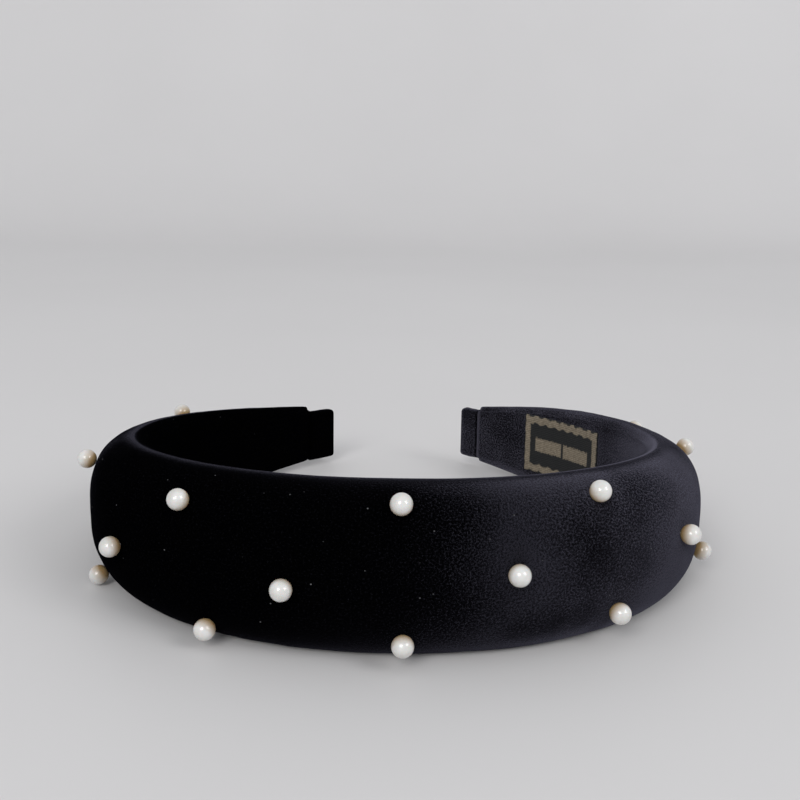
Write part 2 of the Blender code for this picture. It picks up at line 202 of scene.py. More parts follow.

# Colours of the other materials: each pair is mixed by the material's own texture
# the foam's pores are painted darker: painted shade in the holes
FOAM_PORE_SHADE, FOAM_WALLS = (0.42, 0.39, 0.3), (0.78, 0.74, 0.62)
CORE_DARK, CORE_LIGHT = (0.52, 0.52, 0.5), (0.66, 0.66, 0.63)
PEARL_DARK, PEARL_LIGHT = (0.58, 0.57, 0.54), (0.66, 0.655, 0.64)
# painted shade and painted reflection of the dark velvet, in tan, for the side of a pearl that faces its seat
PEARL_SEAT_SHADE = (0.36, 0.24, 0.11)
PEARL_SHEEN_TINT = (1.0, 0.80, 0.50)
STEEL_DARK, STEEL_LIGHT = (0.5, 0.5, 0.52), (0.72, 0.72, 0.74)
GROUND_DARK, GROUND_LIGHT = (0.0012, 0.0016, 0.0019), (0.0045, 0.006, 0.0065)
THREAD_DARK, THREAD_LIGHT = (0.17, 0.138, 0.095), (0.36, 0.3, 0.22)
FLOOR_DARK, FLOOR_LIGHT = (0.60, 0.59, 0.59), (0.66, 0.65, 0.65)

# The label's pattern
SCALLOP_LENGTH = 0.0042
SCALLOP_DEPTH = 0.0003
BORDER = (0.0003, 0.0026)           # from the label's edge
BORDER_FRAY = 0.00025
BAR_HALF_HEIGHT = 0.0022
BAR_SPAN = (0.0005, 0.0125)         # from the label's middle, either way
BAR_FRAY = 0.0004
PATTERN_SOFT = 0.0002

# The photograph's view and its soft light
VIEW_PLACE = (0.00043, -0.28027, 0.10897)
VIEW_DOWN = 0.2349
VIEW_YAW = -0.0014
VIEW_ROLL = 0.0154
VIEW_SENSOR = 36.0
VIEW_LENS = 46.55
WINDOWS = (                 # name, azimuth, power and colour
    ("window_left", -20.0, 36.0, (1.0, 0.99, 0.98)),
    ("window_right", 56.0, 26.0, (0.99, 0.99, 1.0)),
)
WINDOW_ELEVATION = 33.0
WINDOW_DISTANCE = 3.0
WINDOW_SIZE = 1.3
SKY = (0.95, 0.97, 1.0)
SKY_STRENGTH = 0.66

# The floor
FLOOR_HALF_WIDTH = 2.5
FLOOR_FRONT = -1.6
FLOOR_MIDDLE = -0.4
FLOOR_BACK = 0.9            # the sweep starts here
SWEEP_RADIUS = 0.5
SWEEP_STEPS = 12
WALL_TOP = 2.2

# Mesh density: rings along the band and points round or across it
COVER_RINGS = 300
COVER_POINTS = 76
FACE_STEPS = 60             # of the cover's outline, before its points are spread evenly
FACE_GATHER = 1.35          # gathers them at the middle, where an even angle is a long step of height
HEM_STEPS = 10
ROLL_STEPS = 20
LINING_RINGS = 260
LINING_POINTS = 40
FOAM_RINGS = 180
FOAM_FACE_STEPS = 40
FOAM_FACE_POINTS = 34
FOAM_BACK_POINTS = 12
CORE_RINGS = 220
CORE_CORNER_TURNS = 4
SLEEVE_CORNER_TURNS = 8
LABEL_RINGS = 70
LABEL_POINTS = 38
PEARL_STEPS = 22
PEARL_SEGMENTS = 36
PIN_SEGMENTS = 20

# The joint
BEND_HALF = 0.055           # the bend spreads this far each way along the band from the crown's middle
BEND_Y = frame["joints"][0]["pos_m"][1]
BEND_START = (-BEND_HALF, BEND_Y, 0.0)
BEND_END = (BEND_HALF, BEND_Y, 0.0)
BODIES = ("left_half", "right_half")
LONG = 10.0                 # a blend this long turns a small piece as one, without shearing it
ARC_SEARCH = 800            # how many places along the band arc_of tries


def plan_curvature(arc):
    """Curvature of the inner face, which runs straight between the values at the thirds."""
    position = min(arc / HALF_LENGTH, 1.0) * (len(PLAN_RADII) - 1)
    index = min(int(position), len(PLAN_RADII) - 2)
    share = position - index
    return (1 - share) / PLAN_RADII[index] + share / PLAN_RADII[index + 1]


def walk_plan():
    """Rows of (x, y, heading) along one half of the inner face, a step apart."""
    x = y = heading = 0.0
    rows = [(x, y, heading)]
    for step in range(round(HALF_LENGTH / PLAN_STEP) + 1):
        middle = plan_curvature((step + 0.5) * PLAN_STEP)
        heading_half = heading + middle * PLAN_STEP / 2
        x += math.cos(heading_half) * PLAN_STEP
        y += math.sin(heading_half) * PLAN_STEP
        heading += middle * PLAN_STEP
        rows.append((x, y, heading))
    return rows


PLAN = walk_plan()


def plan_at(arc):
    """Interpolated (x, y, heading) at a positive arc."""
    position = min(arc / PLAN_STEP, len(PLAN) - 1.001)
    index = int(position)
    share = position - index
    return [(1 - share) * a + share * b for a, b in zip(PLAN[index], PLAN[index + 1])]


def find_stance():
    """Matrix from the band's frame to the scene's, read off the joint at the crown's outermost face."""
    joint = frame["joints"][0]
    axis = Vector(joint["axis"])
    lean = Matrix.Rotation(-math.atan2(-axis.y, -axis.z), 4, "X")
    return Matrix.Translation(joint["pos_m"]) @ lean @ Matrix.Translation((0.0, CROWN_DEPTH, 0.0))


STANCE = find_stance()


def band_point(arc, outward, height):
    """The scene's point for a place in the band's own frame."""
    side = math.copysign(1.0, arc)
    x, y, heading = plan_at(abs(arc))
    local = Vector((side * (x + math.sin(heading) * outward), y - math.cos(heading) * outward, height))
    return STANCE @ local


def taper(crown, end, power, arc):
    """A size that goes from its value at the crown to its value at the end of the taper."""
    share = min(abs(arc) / TAPER_LENGTH, 1.0)
    return crown - (crown - end) * share ** power


def cover_width(arc):
    """Nominal width of the cover across the band."""
    return taper(CROWN_WIDTH, END_WIDTH, WIDTH_TAPER, arc)


def rim_height(arc, edge):
    """Distance of the top rim (edge 1) or the foot rim (edge -1) from the mid plane."""
    height = cover_width(arc) / 2
    for side, where, centre, reach, extra in CUT_DEPARTURES:
        if where == edge and side in (0, math.copysign(1, arc)):
            distance = min(abs(abs(arc) - centre) / reach, 1.0)
            height += extra * (1 + math.cos(math.pi * distance)) / 2
    return height


def cover_depth(arc):
    """How far out the domed face stands at its middle."""
    return taper(CROWN_DEPTH, END_DEPTH, DEPTH_TAPER, arc)


def face_profile(arc, inset, angle):
    """A point of the domed face: angle 0 is its middle and 90 degrees either way a rim."""
    depth = cover_depth(arc)
    rim = depth * RIM_SHARE
    outward = rim + (depth - inset - rim) * max(math.cos(angle), 0.0)
    half = rim_height(arc, 1 if angle > 0 else -1) - inset
    height = half * abs(math.sin(angle)) ** (2 / FACE_POWER)
    return outward, math.copysign(height, angle)


def smooth_share(value, low, high):
    """0 up to low, 1 from high, smooth between."""
    share = min(max((value - low) / (high - low), 0.0), 1.0)
    return share * share * (3 - 2 * share)


def steps(start, end, count):
    """Evenly spaced numbers, both ends among them."""
    return [start + (end - start) * index / (count - 1) for index in range(count)]


def roll_point(arc, edge, angle):
    """A point where a rim rolls in: angle 0 is on the flat hem, 90 degrees is the rim."""
    half = rim_height(arc, edge)
    rim = cover_depth(arc) * RIM_SHARE
    roll = cover_width(arc) * RIM_ROLL_SHARE
    return HEM_LEVEL + (rim - HEM_LEVEL) * (1 - math.cos(angle)), half - roll + roll * math.sin(angle)


def hem_outline(arc, edge):
    """Bare cloth of one hem as (outward, height, pile), from its raw edge to the rim.

    The pile is pressed flat under the lining and stands up from just inside the lining's edge.
    """
    half = rim_height(arc, edge)
    hem = half - cover_width(arc) * HEM_SHARE
    rise_from, rise_to = (half * LINING_SHARE - distance for distance in PILE_RISE)
    flat_end = roll_point(arc, edge, 0.0)[1]
    points = [(HEM_LEVEL, height) for height in steps(hem, flat_end, HEM_STEPS)]
    points += [roll_point(arc, edge, angle) for angle in steps(0.0, math.pi / 2, ROLL_STEPS)][1:]
    return [(outward, edge * height, smooth_share(height, rise_from, rise_to)) for outward, height in points]


def cover_outline(arc):
    """Bare cloth as (outward, height, pile), from one hem's raw edge round the face to the other's."""
    angles = [math.pi / 2 * math.copysign(abs(share) ** FACE_GATHER, share)
              for share in steps(1.0, -1.0, FACE_STEPS)]
    face = [(*face_profile(arc, 0.0, angle), 1.0) for angle in angles]
    return hem_outline(arc, 1)[:-1] + face + hem_outline(arc, -1)[::-1][1:]


def outline_normals(points):
    """Unit normals of an open outline, pointing away from the band's middle."""
    flat = np.array([point[:2] for point in points])
    along = np.gradient(flat, axis=0)
    normals = np.stack((-along[:, 1], along[:, 0]), axis=1)
    return normals / np.maximum(np.linalg.norm(normals, axis=1, keepdims=True), 1e-12)


def lengths_along(flat):
    """Length of an open outline from its first point to each of its points."""
    return np.concatenate(([0.0], np.cumsum(np.linalg.norm(np.diff(flat[:, :2], axis=0), axis=1))))


def evenly(points, count):
    """The same open outline with its points an even distance apart."""
    flat = np.array(points)
    lengths = lengths_along(flat)
    at = np.linspace(0.0, lengths[-1], count)
    return np.stack([np.interp(at, lengths, flat[:, column]) for column in range(flat.shape[1])], axis=1)


def cover_ring(arc, inset, count):
    """Ring of the pile's surface moved in by inset: outward and height of each point, and its normal."""
    outline = np.array(cover_outline(arc))
    normals = outline_normals(outline)
    moved = outline[:, :2] + normals * (PILE * outline[:, 2:3] - inset)
    ring = evenly(moved, count)
    return ring, outline_normals(ring)


def node_points(name):
    """Vertices of a CAD node."""
    return np.array([vertex.co for vertex in frame["nodes"][name].data.vertices], float)


def find_seats():
    """Centre and outward axis of each pearl, from its own solid and its pin's."""
    seats = {}
    for node in sorted(frame["nodes"]):
        if not node.startswith("pearl_"):
            continue
        bead = node_points(node)
        pin = node_points(node.replace("pearl_", "pin_"))
        axis = Vector(bead.mean(axis=0) - pin.mean(axis=0)).normalized()
        reach = (bead @ np.array(axis)).max()
        foot = Vector(pin.mean(axis=0))
        centre = foot + axis * (reach - foot.dot(axis) - PEARL_RADIUS)
        seats[node[len("pearl_"):]] = (centre, axis)
    return seats


SEATS = find_seats()


def relief(point, depth, radius):
    """How far a point of the padded face moves out: dimples at the pearls and a soft unevenness."""
    broad, fine = UNEVEN_SCALES
    height = UNEVEN * noise.noise(point * broad)
    height += UNEVEN * UNEVEN_FINE_SHARE * noise.noise(point * fine + UNEVEN_FINE_OFFSET)
    for centre, axis in SEATS.values():
        distance = (point - (centre - axis * PEARL_RADIUS)).length
        if distance < radius * DIMPLE_REACH:
            height -= depth * math.exp(-(distance / radius) ** 2)
    return height


def padded_point(arc, place, normal, depth, radius, share=1.0):
    """The scene's point for an (outward, height) place, moved along its normal by the padding's relief."""
    point = band_point(arc, *place)
    step = band_point(arc, place[0] + normal[0] * 0.001, place[1] + normal[1] * 0.001) - point
    return point + step.normalized() * relief(point, depth, radius) * share


def along_band(arc):
    """Unit vector along the band, the way the pile is brushed."""
    return (band_point(arc + PLAN_STEP, 0.0, 0.0) - band_point(arc - PLAN_STEP, 0.0, 0.0)).normalized()


def mesh_object(name, vertices, faces, cloth):
    """Mesh with the cloth's own coordinates: rows of (arc, girth), and a lean too where it has a nap."""
    data = bpy.data.meshes.new(name)
    data.from_pydata([tuple(vertex) for vertex in vertices], [], faces)
    data.shade_smooth()
    flat = data.attributes.new("cloth", "FLOAT_VECTOR", "POINT")
    rows = [(row[0], row[1], 0.0) for row in cloth]
    flat.data.foreach_set("vector", np.array(rows, np.float32).ravel())
    if len(cloth[0]) == 3:
        directions = {arc: along_band(arc) for arc in {row[0] for row in cloth}}
        nap = data.attributes.new("nap", "FLOAT_VECTOR", "POINT")
        leaned = [directions[arc] * lean for arc, girth, lean in cloth]
        nap.data.foreach_set("vector", np.array(leaned, np.float32).ravel())
    made = bpy.data.objects.new(name, data)
    bpy.context.scene.collection.objects.link(made)
    return made


def grid_faces(rings, count, first, flip):
    """Quads between rings of a grid whose vertices start at first."""
    faces = []
    for ring in range(rings - 1):
        for index in range(count - 1):
            a = first + ring * count + index
            quad = (a, a + 1, a + 1 + count, a + count)
            faces.append(quad[::-1] if flip else quad)
    return faces


def border_of(rings, count, first):
    """Vertices round a grid's edge, in order."""
    start = [first + index for index in range(count)]
    far = [first + ring * count + count - 1 for ring in range(1, rings)]
    end = [first + (rings - 1) * count + index for index in range(count - 2, -1, -1)]
    near = [first + ring * count for ring in range(rings - 2, 0, -1)]
    return start + far + end + near


def shell(name, outer, inner, cloth):
    """Closed sheet of cloth from two matching grids of points."""
    rings, count = len(outer), len(outer[0])
    vertices = [point for ring in outer for point in ring] + [point for ring in inner for point in ring]
    second = rings * count
    faces = grid_faces(rings, count, 0, True) + grid_faces(rings, count, second, False)
    edge_outer = border_of(rings, count, 0)
    edge_inner = border_of(rings, count, second)
    for index in range(len(edge_outer)):
        after = (index + 1) % len(edge_outer)
        faces.append((edge_outer[index], edge_outer[after], edge_inner[after], edge_inner[index]))
    return mesh_object(name, vertices, faces, cloth + cloth)


def along_cover(thickness):
    """Arc and inset of each ring: the ends roll in. A thickness gives the cloth's own inner side."""
    rows = []
    radius = max(END_ROLL - thickness, LEAST_ROLL)
    start, end = thickness - COVER_END[-1], COVER_END[1] - thickness
    for arc in steps(start, end, COVER_RINGS):
        over = max(start + radius - arc, arc - (end - radius), 0.0) / radius
        rows.append((arc, thickness + radius * (1 - math.sqrt(max(1 - over * over, 0.0)))))
    return rows


def table_value(table, arc):
    """Value at an arc, straight between a table's rows of (arc, value)."""
    arcs, values = zip(*table)
    return float(np.interp(arc, arcs, values))


def cover_lean(arc, outward):
    """How far the pile leans along the band: a table for each face, and another for the rims."""
    rim = cover_depth(arc) * RIM_SHARE
    if outward < rim:
        at_rim = smooth_share((outward - HEM_LEVEL) / (rim - HEM_LEVEL), *RIM_PILE_INNER)
        own = table_value(LINING_LEAN, arc)
    else:
        at_rim = 1 - smooth_share(outward, rim + RIM_PILE_OUTER[0], rim + RIM_PILE_OUTER[1])
        own = table_value(COVER_LEAN, arc)
    return own * (1 - at_rim) + table_value(RIM_LEAN, arc) * at_rim


def cover_grid(thickness):
    """Rings of points this far inside the pile's surface, and each point's cloth row."""
    grid, cloth = [], []
    for arc, inset in along_cover(thickness):
        ring, normals = cover_ring(arc, inset, COVER_POINTS)
        lengths = lengths_along(ring)
        row = []
        for place, normal, length in zip(ring, normals, lengths):
            out = smooth_share(place[0], HEM_LEVEL, cover_depth(arc) / 2)
            point = padded_point(arc, place, normal, DIMPLE_DEPTH, DIMPLE_RADIUS, out)
            point.z = max(point.z, TABLE_CLEAR + thickness)
            row.append(point)
            cloth.append((arc, length - lengths[-1] / 2, cover_lean(arc, place[0])))
        grid.append(row)
    return grid, cloth


def velvet_cover():
    """The velvet and its cloth backing as one closed sheet, from hem to hem round the face."""
    outer, cloth = cover_grid(0.0)
    inner = cover_grid(CLOTH + PILE)[0]
    return shell("velvet_cover", outer, inner, cloth)


def level_of_hem(arc, height):
    """Outward level of the bare cloth on the inner side, at a height across the band."""
    edge = 1 if height > 0 else -1
    flat = roll_point(arc, edge, 0.0)[1]
    share = min(max((abs(height) - flat) / (cover_width(arc) * RIM_ROLL_SHARE), 0.0), 1.0)
    return roll_point(arc, edge, math.asin(share))[0]


def lining_ribbon():
    """A ribbon glued over the hems: it follows them, and its edges sink into the pile."""
    inner_lift, outer_lift = LINING_EDGE_LIFT
    outer, inner, cloth = [], [], []
    for arc in steps(LINING_END_SHORT - COVER_END[-1], COVER_END[1] - LINING_END_SHORT, LINING_RINGS):
        outer_row, inner_row = [], []
        for share in steps(LINING_SHARE, -LINING_SHARE, LINING_POINTS):
            height = rim_height(arc, 1 if share > 0 else -1) * share
            edge = smooth_share(abs(share), LINING_SHARE * LINING_EDGE_FROM, LINING_SHARE)
            lift = level_of_hem(arc, height) - HEM_LEVEL
            where = Vector((arc * LINING_WANDER_SCALE, height * LINING_WANDER_SCALE, 0.0))
            wander = LINING_WANDER * noise.noise(where)
            inner_row.append(band_point(arc, lift + inner_lift * edge + wander, height))
            outer_row.append(band_point(arc, lift + LINING_THICKNESS + outer_lift * edge + wander, height))
            cloth.append((arc, height, table_value(LINING_LEAN, arc)))
        outer.append(outer_row)
        inner.append(inner_row)
    return shell("lining_ribbon", outer, inner, cloth)


def closed_loft(name, sections, cloth):
    """Capped solid through closed sections that all have the same number of points."""
    count = len(sections[0])
    vertices = [point for section in sections for point in section]
    faces = []
    for ring in range(len(sections) - 1):
        for index in range(count):
            after = (index + 1) % count
            a, b = ring * count + index, ring * count + after
            faces.append((a, b, b + count, a + count))
    faces.append(tuple(range(count - 1, -1, -1)))
    last = (len(sections) - 1) * count
    faces.append(tuple(range(last, last + count)))
    return mesh_object(name, vertices, faces, cloth)


def foam_pad():
    """The foam under the cover, pressed in where the pins' heads lie."""
    sections, cloth = [], []
    for arc in steps(-FOAM_LENGTH, FOAM_LENGTH, FOAM_RINGS):
        rim = cover_depth(arc) * RIM_SHARE
        rise = cover_depth(arc) - FOAM_INSET - rim
        edge = math.acos(min(max((FOAM_LEVEL - rim) / rise, 0.0), 1.0))
        face = [face_profile(arc, FOAM_INSET, angle) for angle in steps(edge, -edge, FOAM_FACE_STEPS)]
        face = evenly(face, FOAM_FACE_POINTS)
        row = [padded_point(arc, place, normal, FOAM_DENT_DEPTH, FOAM_DENT_RADIUS)
               for place, normal in zip(face, outline_normals(face))]
        row += [band_point(arc, FOAM_LEVEL, abs(face[0][1]) * share)
                for share in steps(-FOAM_FLAT_SHARE, FOAM_FLAT_SHARE, FOAM_BACK_POINTS)]
        sections.append(row)
        cloth += [(arc, 0.0)] * len(row)
    return closed_loft("foam_pad", sections, cloth)


def rounded_section(low, high, half, corner, turns):
    """Rounded oblong as (outward, height), round its four corners."""
    centres = ((high - corner, half - corner, 0), (high - corner, corner - half, 270),
               (low + corner, corner - half, 180), (low + corner, half - corner, 90))
    points = []
    for level, height, start in centres:
        for turn in steps(90.0, 0.0, turns):
            angle = math.radians(start + turn)
            points.append((level + corner * math.cos(angle), height + corner * math.sin(angle)))
    return points


def spring_core():
    """The plastic spring band, its edges and ends rounded as moulded."""
    sections, cloth = [], []
    reach = HALF_LENGTH - CORE_END_SHORT
    for arc in steps(-reach, reach, CORE_RINGS):
        half = cover_width(arc) / 2 * CORE_SHARE
        over = max(abs(arc) - (reach - half), 0.0) / half
        half *= max(math.sqrt(max(1 - over * over, 0.0)), CORE_END_LEFT)
        high = CORE_LEVEL + CORE_THICKNESS
        outline = rounded_section(CORE_LEVEL, high, half, CORE_CORNER, CORE_CORNER_TURNS)
        sections.append([band_point(arc, outward, height) for outward, height in outline])
        cloth += [(arc, height) for outward, height in outline]
    return closed_loft("spring_core", sections, cloth)


def tip_sleeve(side):
    """Velvet sleeve pulled over the core's end: soft, a little uneven, its far edge sewn shut."""
    start = COVER_END[side] - SLEEVE_START_SHORT
    length = HALF_LENGTH + SLEEVE_EXTRA[side] - start
    drop = SLEEVE_DROP[side] + SLEEVE_SAG[side]
    sections, cloth = [], []
    for share, inset in SLEEVE_ROWS:
        arc = start + length * share
        low = HEM_LEVEL - SLEEVE_EASE + inset
        high = HEM_LEVEL + SLEEVE_DEPTH + SLEEVE_EASE - inset
        half = SLEEVE_WIDTH / 2 + SLEEVE_EASE - inset
        corner = max(SLEEVE_CORNER - inset, SLEEVE_LEAST_CORNER)
        outline = rounded_section(low, high, half, corner, SLEEVE_CORNER_TURNS)
        loose = 1 - inset / SLEEVE_SHUT
        section = []
        girth = 0.0
        before = outline[0]
        for outward, height in outline:
            point = band_point(side * arc, outward, height - drop)
            aim = height * SLEEVE_LUMP_AIM - drop
            middle = band_point(side * arc, HEM_LEVEL + SLEEVE_DEPTH / 2, aim)
            lump = sum(rise * noise.noise(point * scale) for rise, scale in SLEEVE_LUMPS)
            section.append(point + (point - middle).normalized() * lump * loose)
            girth += math.dist(before, (outward, height))
            before = (outward, height)
            cloth.append((side * (arc - inset), girth, table_value(LINING_LEAN, side * arc)))
        sections.append(section)
    if side < 0:
        sections = [section[::-1] for section in sections]
    return closed_loft("soft_sleeve_" + ("left" if side < 0 else "right"), sections, cloth)


def woven_label():
    """Woven label lying on the lining, its cut ends turned under."""
    outer, inner, cloth = [], [], []
    length = LABEL_END - LABEL_START
    for along in steps(0.0, 1.0, LABEL_RINGS):
        arc = LABEL_START + length * along
        outer_row, inner_row = [], []
        for across in steps(0.5, -0.5, LABEL_POINTS):
            height = LABEL_RAISED + LABEL_HEIGHT * across
            lift = level_of_hem(arc, height) - HEM_LEVEL
            edge = max(smooth_share(abs(along - 0.5), *LABEL_TURNED_ENDS),
                       smooth_share(abs(across), *LABEL_TURNED_EDGES))
            where = Vector((arc * LABEL_WANDER_SCALE, height * LABEL_WANDER_SCALE, 4.0))
            wander = lift + LABEL_WANDER * noise.noise(where)
            thickness = LABEL_THICKNESS * (1 - LABEL_TURNED_LOSS * edge)
            inner_row.append(band_point(arc, wander - LABEL_PROUD - thickness, height))
            outer_row.append(band_point(arc, lift - LABEL_BACK_CLEAR, height))
            cloth.append((length * (along - 0.5), LABEL_HEIGHT * across))
        outer.append(outer_row)
        inner.append(inner_row)
    return shell("damask_label", outer, inner, cloth)


def turned(name, profile, segments, place):
    """Round solid from a profile of (radius, height) that starts and ends on the axis.

    Its cloth rows hold the height as a share of a pearl's radius.
    """
    vertices = [Vector((0.0, 0.0, profile[0][1]))]
    for radius, height in profile[1:-1]:
        for index in range(segments):
            angle = 2 * math.pi * index / segments
            vertices.append(Vector((radius * math.cos(angle), radius * math.sin(angle), height)))
    vertices.append(Vector((0.0, 0.0, profile[-1][1])))
    faces = []
    rings = len(profile) - 2
    for index in range(segments):
        after = (index + 1) % segments
        faces.append((0, 1 + index, 1 + after))
        for ring in range(rings - 1):
            a, b = 1 + ring * segments + index, 1 + ring * segments + after
            faces.append((a, a + segments, b + segments, b))
        last = 1 + (rings - 1) * segments
        faces.append((last + index, len(vertices) - 1, last + after))
    rise = [(vertex.z / PEARL_RADIUS, 0.0) for vertex in vertices]
    return mesh_object(name, [place @ vertex for vertex in vertices], faces, rise)


def seat_matrix(centre, axis):
    """Places a turned solid at a pearl's centre with its own Z along the seat's axis."""
    turn = axis.to_track_quat("Z", "Y").to_matrix().to_4x4()
    return Matrix.Translation(centre) @ turn


def pearl(name, centre, axis):
    """Lacquered bead with the blind hole its pin stands in."""
    profile = [(0.0, PEARL_RADIUS)]
    for angle in steps(0.0, math.pi - HOLE_ANGLE, PEARL_STEPS)[1:]:
        profile.append((PEARL_RADIUS * math.sin(angle), PEARL_RADIUS * math.cos(angle)))
    hole = PEARL_RADIUS * math.sin(HOLE_ANGLE)
    at_bevel, at_top = HOLE_NARROWS
    profile += [(hole * at_bevel, profile[-1][1] + HOLE_BEVEL), (hole * at_top, HOLE_TOP), (0.0, HOLE_TOP)]
    return turned("lacquered_pearl_" + name, profile, PEARL_SEGMENTS, seat_matrix(centre, axis))


def pin(name, centre, axis):
    """Flat-headed pin from inside the pearl to behind the cover."""
    points = node_points("pin_" + name) @ np.array(axis)
    top = points.max() - centre.dot(axis)
    foot = points.min() - centre.dot(axis)
    head_top = foot + HEAD_THICKNESS
    profile = [(0.0, top)]
    profile += [(SHANK_RADIUS * share, top - down) for share, down in SHANK_POINT]
    profile += [(SHANK_RADIUS * share, head_top + up) for share, up in SHANK_FILLET]
    profile += [(HEAD_RADIUS * share, foot + HEAD_THICKNESS * up) for share, up in HEAD_RIM]
    profile.append((0.0, foot))
    return turned("steel_pin_" + name, profile, PIN_SEGMENTS, seat_matrix(centre, axis))


# ---- materials -------------------------------------------------------------------------------------------

def new_material(name):
    """Node tree, Principled shader and the material itself."""
    made = bpy.data.materials.new(name)
    made.use_nodes = True
    return made.node_tree, made.node_tree.nodes["Principled BSDF"], made


def node(tree, kind, inputs=None, **settings):
    """Shader node with its inputs linked or set."""
    made = tree.nodes.new("ShaderNode" + kind)
    for name, value in settings.items():
        setattr(made, name, value)
    for name, value in (inputs or {}).items():
        if isinstance(value, bpy.types.NodeSocket):
            tree.links.new(value, made.inputs[name])
        else:
            made.inputs[name].default_value = value
    return made


def link(tree, value, shader, name):
    """Drives one of the shader's inputs by a texture."""
    tree.links.new(value, shader.inputs[name])


def set_inputs(shader, values):
    """Sets the inputs that are the same all over."""
    for name, value in values.items():
        shader.inputs[name].default_value = (*value, 1.0) if isinstance(value, tuple) else value


def cloth_vector(tree):
    """The cloth's own flat coordinates: metres along the band and round its girth."""
    return node(tree, "Attribute", attribute_name="cloth").outputs["Vector"]


def object_vector(tree):
    """Place on a piece as it stands at rest, in metres."""
    return node(tree, "TexCoord").outputs["Object"]


def noise_value(tree, vector, scale, detail=2.0, roughness=0.6):
    """Noise from 0 to 1."""
    inputs = {"Vector": vector, "Scale": scale, "Detail": detail, "Roughness": roughness}
    return node(tree, "TexNoise", inputs).outputs["Fac"]


def remap(tree, value, low, high, to_low=0.0, to_high=1.0):
    """A value between low and high, clamped and moved to its new range."""
    made = node(tree, "MapRange", {"Value": value, "From Min": low, "From Max": high,
                                   "To Min": to_low, "To Max": to_high})
    return made.outputs["Result"]


def math_value(tree, operation, first, second=None):
    """Result of a Math node."""
    inputs = {0: first} if second is None else {0: first, 1: second}
    return node(tree, "Math", inputs, operation=operation).outputs[0]


def mix_colour(tree, share, first, second):
    """First colour where the share is 0, second where it is 1."""
    made = node(tree, "Mix", data_type="RGBA")
    for socket, value in (("Factor_Float", share), ("A_Color", first), ("B_Color", second)):
        target = next(entry for entry in made.inputs if entry.identifier == socket)
        if isinstance(value, bpy.types.NodeSocket):
            tree.links.new(value, target)
        else:
            target.default_value = (*value, 1.0)
    return next(entry for entry in made.outputs if entry.identifier == "Result_Color")


def bump(tree, height, strength, distance, normal=None):
    """Normal with fine relief."""
    inputs = {"Height": height, "Strength": strength, "Distance": distance}
    if normal is not None:
        inputs["Normal"] = normal
    return node(tree, "Bump", inputs).outputs["Normal"]


def nap_normal(tree, lean):
    """Normal leaned the way the pile is brushed, by the nap's own lean times this one."""
    geometry = node(tree, "NewGeometry").outputs["Normal"]
    along = node(tree, "Attribute", attribute_name="nap").outputs["Vector"]
    leaned = node(tree, "VectorMath", {0: along, "Scale": lean}, operation="SCALE").outputs[0]
    total = node(tree, "VectorMath", {0: geometry, 1: leaned}, operation="ADD").outputs[0]
    return node(tree, "VectorMath", {0: total}, operation="NORMALIZE").outputs[0]


def brushed_share(tree, vector):
    """How far the pile is brushed over: uneven all over, with a few broad strokes."""
    patches = noise_value(tree, vector, scale=62.0, detail=3.0, roughness=0.55)
    total = remap(tree, patches, 0.35, 0.65, 0.84, 1.12)
    for arc, girth, reach_arc, reach_girth, amount in STROKES:
        offset = node(tree, "VectorMath", {0: vector, 1: (arc, girth, 0.0)}, operation="SUBTRACT").outputs[0]
        shrink = (1 / reach_arc, 1 / reach_girth, 0.0)
        scaled = node(tree, "VectorMath", {0: offset, 1: shrink}, operation="MULTIPLY").outputs[0]
        distance = node(tree, "VectorMath", {0: scaled}, operation="LENGTH").outputs["Value"]
        fade = {"Value": distance, "From Min": 1.0, "From Max": 0.0, "To Min": 0.0, "To Max": amount}
        stroke = node(tree, "MapRange", fade, interpolation_type="SMOOTHSTEP").outputs["Result"]
        total = math_value(tree, "ADD", total, stroke)
    return total


def lint_share(tree, vector):
    """1 on a few small round specks."""
    specks = node(tree, "TexVoronoi", {"Vector": vector, "Scale": 400.0, "Randomness": 1.0})
    small = remap(tree, specks.outputs["Distance"], 0.08, 0.03)
    chosen = node(tree, "SeparateColor", {"Color": specks.outputs["Color"]}).outputs["Red"]
    rare = remap(tree, chosen, 0.72, 0.95)
    return math_value(tree, "MULTIPLY", small, rare)


def velvet(name, sheen):
    """Short dense black pile. Each tuft leans its own way, which is what makes it glint in specks; the same tufts
    also get painted glints in their colour.
    """
    tree, shader, made = new_material(name)
    vector = cloth_vector(tree)
    tufts = noise_value(tree, vector, scale=2100.0, detail=3.0, roughness=0.72)
    upright = remap(tree, tufts, 0.3, 0.72)
    tuft_lean = remap(tree, math_value(tree, "POWER", upright, 2.0), 0.0, 1.0, 0.5, 2.0)
    lean = math_value(tree, "MULTIPLY", tuft_lean, brushed_share(tree, vector))
    # painted glints: the tufts that lean most are painted lighter
    colour = mix_colour(tree, remap(tree, tufts, 0.55, 0.75), VELVET_DARK, VELVET_GLINT)
    link(tree, mix_colour(tree, lint_share(tree, vector), colour, LINT), shader, "Base Color")
    link(tree, remap(tree, tufts, 0.3, 0.7, 0.8, 1.0), shader, "Roughness")
    link(tree, bump(tree, tufts, 0.5, 0.00026, nap_normal(tree, lean)), shader, "Normal")
    set_inputs(shader, {"Specular IOR Level": 0.0, "Sheen Weight": sheen,
                        "Sheen Roughness": VELVET_SHEEN_ROUGHNESS, "Sheen Tint": VELVET_SHEEN_TINT})
    return made


def foam_material():
    """Open-cell foam: a net of small pores, painted darker inside as shade in the holes."""
    tree, shader, made = new_material("foam")
    cells = node(tree, "TexVoronoi", {"Vector": object_vector(tree), "Scale": 1400.0}).outputs["Distance"]
    pores = remap(tree, cells, 0.1, 0.5)
    # painted shade: the pores are darker than the walls
    link(tree, mix_colour(tree, pores, FOAM_PORE_SHADE, FOAM_WALLS), shader, "Base Color")
    link(tree, remap(tree, pores, 0.0, 1.0, 1.0, 0.85), shader, "Roughness")
    link(tree, bump(tree, pores, 0.6, 0.0004), shader, "Normal")
    return made


